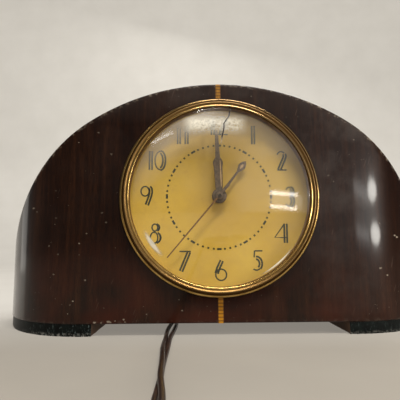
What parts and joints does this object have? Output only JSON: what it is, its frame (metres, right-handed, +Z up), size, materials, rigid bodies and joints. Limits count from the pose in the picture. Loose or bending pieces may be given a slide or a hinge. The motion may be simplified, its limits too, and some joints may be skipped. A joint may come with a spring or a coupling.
{
  "type": "electric mantel clock",
  "caption": "Half-round electric mantel clock: bent-front wooden case on two feet, brass bezel under domed glass, three hands, geared synchronous movement, rear set knob and mains cord.",
  "frame": {"origin": "on the surface that the clock stands on, under the middle of its bounding box without the cord", "axes": "+X to the viewer's right along the case's width, -Y towards the viewer, +Z up"},
  "size_m": [0.3002, 0.3536, 0.1598],
  "materials": {
    "mahogany": "dark mahogany veneer under worn gloss lacquer",
    "ebonised_wood": "chipped green-black paint",
    "raw_wood": "bare softwood",
    "inlay_wood": "light inlay strip with dark cross bars",
    "pressed_board": "brown pressed board",
    "brass": "polished and tarnished",
    "steel": "bright",
    "crystal_glass": "domed, clouded and cracked",
    "dial_gold": "printed gold lacquer, aged",
    "dark_hands": "dark lacquer, worn",
    "gilt_hand": "gilt, worn",
    "iron": "oxidised laminations",
    "can_metal": "copper-plated can",
    "bobbin_fibre": "red fibre",
    "coil_tape": "varnished tape",
    "knob_plastic": "brown moulding",
    "cord_rubber": "brown two-wire flex",
    "tie_wire": "flat wire band"
  },
  "bodies": {
    "case": {"front_panel": "mahogany", "arch_panel": "mahogany", "base_board": "raw_wood", "back_board": "pressed_board", "left_foot": "ebonised_wood", "right_foot": "ebonised_wood", "inlay_top": "inlay_wood", "inlay_bottom": "inlay_wood", "left_back_batten": "raw_wood", "right_back_batten": "raw_wood", "top_back_batten": "raw_wood", "back_screw_1": "steel", "back_screw_2": "steel", "back_screw_3": "steel", "bezel": "brass", "crystal": "crystal_glass", "spacer_ring": "brass", "dial": "dial_gold", "dial_pan": "steel", "left_clip": "steel", "right_clip": "steel", "left_clip_screw": "steel", "right_clip_screw": "steel", "front_plate": "brass", "rear_plate": "brass", "pillar_1": "steel", "pillar_2": "steel", "pillar_3": "steel", "plate_screw_1": "steel", "plate_screw_2": "steel", "plate_screw_3": "steel", "field_core": "iron", "coil_bobbin": "bobbin_fibre", "field_coil": "coil_tape", "rotor_can": "can_metal", "left_core_screw": "steel", "right_core_screw": "steel", "strain_relief": "cord_rubber", "coil_lead": "cord_rubber", "cord": "cord_rubber", "cord_coil": "cord_rubber", "cord_tie": "tie_wire", "plug_body": "cord_rubber", "plug_blade_1": "brass", "plug_blade_2": "brass"},
    "second_group": {"second_arbor": "steel", "second_wheel": "brass", "second_hand": "gilt_hand"},
    "rotor_output": {"rotor_pinion": "steel"},
    "middle_group": {"middle_wheel": "brass"},
    "centre_group": {"centre_wheel": "brass"},
    "minute_group": {"minute_tube": "steel", "minute_hand": "dark_hands"},
    "minute_wheel_group": {"minute_wheel": "brass"},
    "hour_group": {"hour_wheel": "brass", "hour_hand": "dark_hands"},
    "setting_group": {"set_shaft": "steel", "set_knob": "knob_plastic"},
    "magnet_rotor_group": {"magnet_rotor": "iron"}
  },
  "joints": [
    {"name": "second_turn", "type": "hinge", "parent": "case", "child": "second_group", "pos_m": [0, -0.0107, 0.0858], "axis": [0, 1, 0], "continuous": true},
    {"name": "rotor_output_turn", "type": "hinge", "parent": "case", "child": "rotor_output", "pos_m": [0, -0.0107, 0.072], "axis": [0, 1, 0], "continuous": true},
    {"name": "middle_turn", "type": "hinge", "parent": "case", "child": "middle_group", "pos_m": [-0.01598, -0.0147, 0.09162], "axis": [0, 1, 0], "continuous": true},
    {"name": "centre_turn", "type": "hinge", "parent": "case", "child": "centre_group", "pos_m": [0, -0.0187, 0.0858], "axis": [0, 1, 0], "continuous": true},
    {"name": "minute_turn", "type": "hinge", "parent": "case", "child": "minute_group", "pos_m": [0, -0.0267, 0.0858], "axis": [0, 1, 0], "continuous": true},
    {"name": "minute_wheel_turn", "type": "hinge", "parent": "case", "child": "minute_wheel_group", "pos_m": [0.0108, -0.0267, 0.0858], "axis": [0, 1, 0], "continuous": true},
    {"name": "hour_turn", "type": "hinge", "parent": "case", "child": "hour_group", "pos_m": [0, -0.0287, 0.0858], "axis": [0, 1, 0], "continuous": true},
    {"name": "setting_turn", "type": "hinge", "parent": "case", "child": "setting_group", "pos_m": [0.0243, 0.0353, 0.0858], "axis": [0, 1, 0], "continuous": true},
    {"name": "magnet_rotor_turn", "type": "hinge", "parent": "case", "child": "magnet_rotor_group", "pos_m": [0, 0.0083, 0.072], "axis": [0, 1, 0], "continuous": true}
  ],
  "couplings": [
    {"joint": "rotor_output_turn", "follows": "second_turn", "ratio": -3.6},
    {"joint": "middle_turn", "follows": "second_turn", "ratio": -0.125},
    {"joint": "centre_turn", "follows": "second_turn", "ratio": 0.016667},
    {"joint": "minute_wheel_turn", "follows": "minute_turn", "ratio": -0.33333},
    {"joint": "hour_turn", "follows": "minute_turn", "ratio": 0.083333},
    {"joint": "setting_turn", "follows": "minute_turn", "ratio": 0.5}
  ]
}
